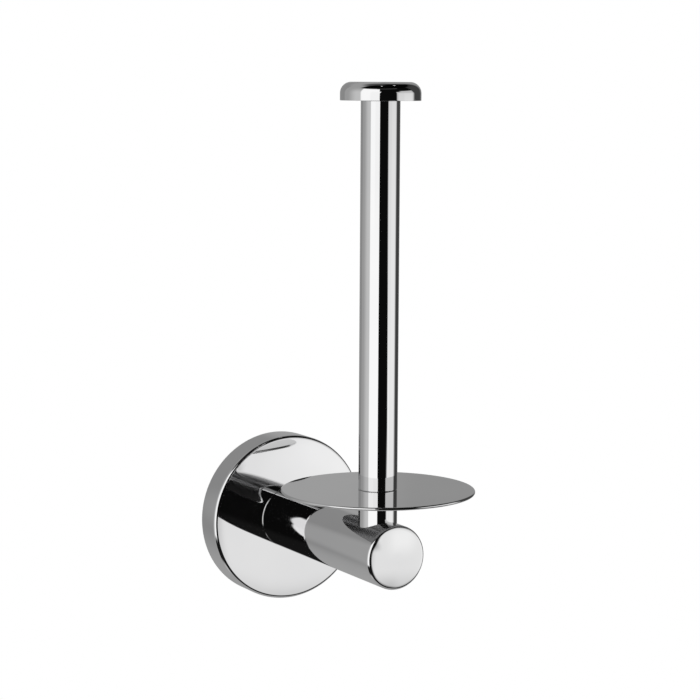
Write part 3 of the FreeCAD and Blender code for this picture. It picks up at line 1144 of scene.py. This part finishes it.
@dataclass
class Studio:
    """Pale floor, light tent, lamp, white background and camera.

    Each of the tent's panels covers those before it.
    """

    viewpoint: Viewpoint = field(default_factory=Viewpoint)
    floor_level: float = -200.0
    floor_size: float = 8000.0
    shadow_reach: Ring = (250.0, 480.0)
    floor_tone: Colour = (0.86, 0.86, 0.855)
    floor_glow: float = 0.42
    tent_radius: float = 1800.0
    tent_middle: Point = (0.0, -45.0, 60.0)
    tent_tone: float = 0.38
    tent_segments: int = 64
    tent_rings: int = 32
    lamp_place: Point = (-250.0, -500.0, 1600.0)
    lamp_size: float = 1400.0
    lamp_power: float = 22.0
    fill_light: float = 0.35
    panels: tuple[Panel, ...] = (
        # Grey walls in front and, on both sides, behind.
        Panel((-89, 20), (-60, 30), 0.63, side_feather=(20, 2), end_feather=(10, 22)),
        Panel((-173, -123), (-25, 40), 0.29, side_feather=(4, 3), end_feather=(9, 8)),
        Panel((100, 178.6), (-60, TO_TOP), 0.31, side_feather=(4, 1.4), end_feather=(10, 8)),
        # Black boards in front and on the right.
        Panel((-12, 60), (-60, 46), 0.004, end_feather=(8, 4)),
        Panel((56, 150), (9, 50), 0.004, side_feather=(2, 8), end_feather=(4, 4)),
        # White board on the left, and the slant of its edge low down.
        Panel((-58, -3.4), (-25, 42), 1.16, side_feather=(3, 0.3), end_feather=(2, 2)),
        Panel((-30, -3.8), (-2, 18), 1.1, side_feather=(3, 0.3), end_feather=(2, 2), lean=-0.28),
        # Grey and white boards on the right.
        Panel((46, 103), (-11, 14), 0.62, side_feather=(1.5, 5), end_feather=(4, 2), lean=0.12),
        Panel((58, 103), (-11, 22), 0.62, side_feather=(6, 5), end_feather=(4, 2), lean=0.12),
        Panel((50, 103), (-22.5, 4), 0.92, side_feather=(3, 5), end_feather=(6, 10)),
        Panel((69, 98), (-22, 0), 0.99, side_feather=(4, 5), end_feather=(6, 8)),
        Panel((57, 65), (-12.6, -7), 1.05, side_feather=(2.5, 3), end_feather=(2.5, 2)),
        # Dark strip beside them, and a dark board behind them.
        Panel((36, 47.7), (-11, -2), 0.004, side_feather=(2, 1.5), end_feather=(1.5, 4), lean=0.5),
        Panel((109, 155), (-30, 45), 0.055, side_feather=(3, 13), end_feather=(14, 11), lean=0.28),
        # Dark roof.
        Panel(ALL_ROUND, (66, TO_TOP), 0.08, end_feather=(8, 4)),
        Panel((-74, 148), (46, TO_TOP), 0.002, side_feather=(8, 14), end_feather=(2, 4)),
        Panel(ALL_ROUND, (84, TO_TOP), 0.04, end_feather=(4, 4)),
        # Two small lamps in the roof.
        Panel((4, 12), (73, 77), 1.4, side_feather=(2, 2), end_feather=(1.5, 1.5)),
        Panel((95, 104), (68, 71), 1.4, side_feather=(2, 2), end_feather=(1.5, 1.5)),
        # Dark board below.
        Panel((-85, 108), (-52, -27), 0.01, side_feather=(8, 8), end_feather=(6, 4)),
    )

    def build(self) -> None:
        """Sets up the floor, the tent, the light and the camera."""
        self.lay_floor()
        self.pitch_tent()
        self.hang_lamp()
        self.light_background()
        self.set_camera()

    def seen(self, board: NodeBoard) -> Socket:
        """Tells rays that show the background from those that carry its light.

        Args:
            board: The nodes of a floor or a world.

        Returns:
            1 for what the camera, metal and glass see, and 0 for scattered light.
        """
        path = board.add("ShaderNodeLightPath")
        seen = board.math("MAXIMUM", path.outputs["Is Camera Ray"], path.outputs["Is Glossy Ray"])
        return board.math("MAXIMUM", seen, path.outputs["Is Transmission Ray"])

    def lay_floor(self) -> None:
        """Lays a pale floor that takes the holder's shadow and runs out to white."""
        clear_bench()
        middle = Vector((0, self.tent_middle[1], self.floor_level)) * MM
        bpy.ops.mesh.primitive_plane_add(size=self.floor_size * MM, location=middle)
        floor = bpy.context.object
        floor.name = "floor"
        material = bpy.data.materials.new("pale_floor")
        material.use_nodes = True
        board = NodeBoard(material.node_tree)
        place = board.add("ShaderNodeTexCoord").outputs["Object"]
        matt = board.add("ShaderNodeBsdfDiffuse")
        matt.inputs["Color"].default_value = (*self.floor_tone, 1)
        glow = board.add("ShaderNodeEmission")
        strength = board.math("MULTIPLY", self.seen(board), self.floor_glow)
        board.feed(glow.inputs["Strength"], strength)
        lit = board.add("ShaderNodeAddShader")
        board.feed(lit.inputs[0], matt.outputs[0])
        board.feed(lit.inputs[1], glow.outputs[0])
        white = board.add("ShaderNodeEmission")
        board.feed(white.inputs["Strength"], self.seen(board))
        away = board.add("ShaderNodeVectorMath", operation="LENGTH")
        board.feed(away.inputs[0], place)
        near, far = self.shadow_reach
        blend = board.add("ShaderNodeMixShader")
        share = board.span(away.outputs["Value"], (near * MM, far * MM), (0, 1), soft=True)
        board.feed(blend.inputs[0], share)
        board.feed(blend.inputs[1], lit.outputs[0])
        board.feed(blend.inputs[2], white.outputs[0])
        output = board.add("ShaderNodeOutputMaterial")
        board.feed(output.inputs["Surface"], blend.outputs[0])
        floor.data.materials.append(material)
        floor.visible_glossy = False

    def pitch_tent(self) -> None:
        """Puts a round tent about the holder, whose panels only the metal sees."""
        clear_bench()
        bpy.ops.mesh.primitive_uv_sphere_add(
            segments=self.tent_segments, ring_count=self.tent_rings,
            radius=self.tent_radius * MM,
            location=Vector(self.tent_middle) * MM,
            rotation=(0, 0, math.radians(self.viewpoint.azimuth)))
        tent = bpy.context.object
        tent.name = "light_tent"
        material = bpy.data.materials.new("tent_panels")
        material.use_nodes = True
        material.cycles.emission_sampling = "NONE"
        board = NodeBoard(material.node_tree)
        place = board.add("ShaderNodeSeparateXYZ")
        board.feed(place.inputs[0], board.add("ShaderNodeTexCoord").outputs["Object"])
        x, y, z = place.outputs
        forward = board.math("MULTIPLY", y, -1.0)
        azimuth = board.math("DEGREES", board.math("ARCTAN2", x, forward))
        squares = board.math("MULTIPLY_ADD", x, x, board.math("MULTIPLY", y, y))
        level = board.math("SQRT", squares)
        elevation = board.math("DEGREES", board.math("ARCTAN2", z, level))
        tone: Socket | float = self.tent_tone
        for panel in self.panels:
            mix = board.add("ShaderNodeMix", data_type="FLOAT")
            board.feed(mix.inputs["Factor"], panel.mask(board, azimuth, elevation))
            board.feed(mix.inputs["A"], tone)
            board.feed(mix.inputs["B"], panel.tone)
            tone = mix.outputs["Result"]
        glow = board.add("ShaderNodeEmission")
        board.feed(glow.inputs["Strength"], tone)
        output = board.add("ShaderNodeOutputMaterial")
        board.feed(output.inputs["Surface"], glow.outputs[0])
        tent.data.materials.append(material)
        tent.visible_camera = tent.visible_diffuse = tent.visible_shadow = False

    def hang_lamp(self) -> None:
        """Hangs one broad soft lamp above the holder."""
        lamp = bpy.data.lights.new("soft_lamp", "AREA")
        lamp.shape = "DISK"
        lamp.size = self.lamp_size * MM
        lamp.energy = self.lamp_power
        holder = bpy.data.objects.new("soft_lamp", lamp)
        bpy.context.scene.collection.objects.link(holder)
        place = Vector(self.lamp_place) * MM
        aim = Vector(self.tent_middle) * MM - place
        turn = aim.to_track_quat("-Z", "Y").to_matrix().to_4x4()
        holder.matrix_world = Matrix.Translation(place) @ turn
        holder.visible_glossy = False

    def light_background(self) -> None:
        """Makes the background white to the eye and a soft light to the rest."""
        world = bpy.data.worlds.new("white_background")
        bpy.context.scene.world = world
        world.use_nodes = True
        board = NodeBoard(world.node_tree)
        background = board.add("ShaderNodeBackground")
        background.inputs["Color"].default_value = (1, 1, 1, 1)
        strength = board.span(self.seen(board), (0, 1), (self.fill_light, 1))
        board.feed(background.inputs["Strength"], strength)
        output = board.add("ShaderNodeOutputWorld")
        board.feed(output.inputs["Surface"], background.outputs[0])

    def set_camera(self) -> None:
        """Sets the camera at the photograph's viewpoint."""
        lens = bpy.data.cameras.new("camera")
        lens.sensor_fit = "HORIZONTAL"
        lens.sensor_width = self.viewpoint.sensor_width
        lens.lens = self.viewpoint.focal_length
        lens.clip_start = self.viewpoint.nearest * MM
        camera = bpy.data.objects.new("camera", lens)
        camera.matrix_world = self.viewpoint.matrix()
        bpy.context.scene.collection.objects.link(camera)
        bpy.context.scene.camera = camera
        bpy.context.scene.view_settings.view_transform = "Standard"


def main() -> None:
    """Builds and dresses the holder from the wall outwards, then sets up the studio."""
    logging.basicConfig(level=logging.INFO, format="%(name)s: %(message)s")
    plate = WallPlate()
    plate.dress(plate.build())
    rosette = Rosette()
    rosette.dress(rosette.build_cup(), rosette.build_screw())
    arm = Arm()
    arm.dress(arm.build_bar(), arm.build_screw(), arm.build_washer())
    post = Post()
    post.dress(post.build_foot(), post.build_disc(), post.build_tube(), post.build_cap())
    Studio().build()


if __name__ == "__main__":
    main()
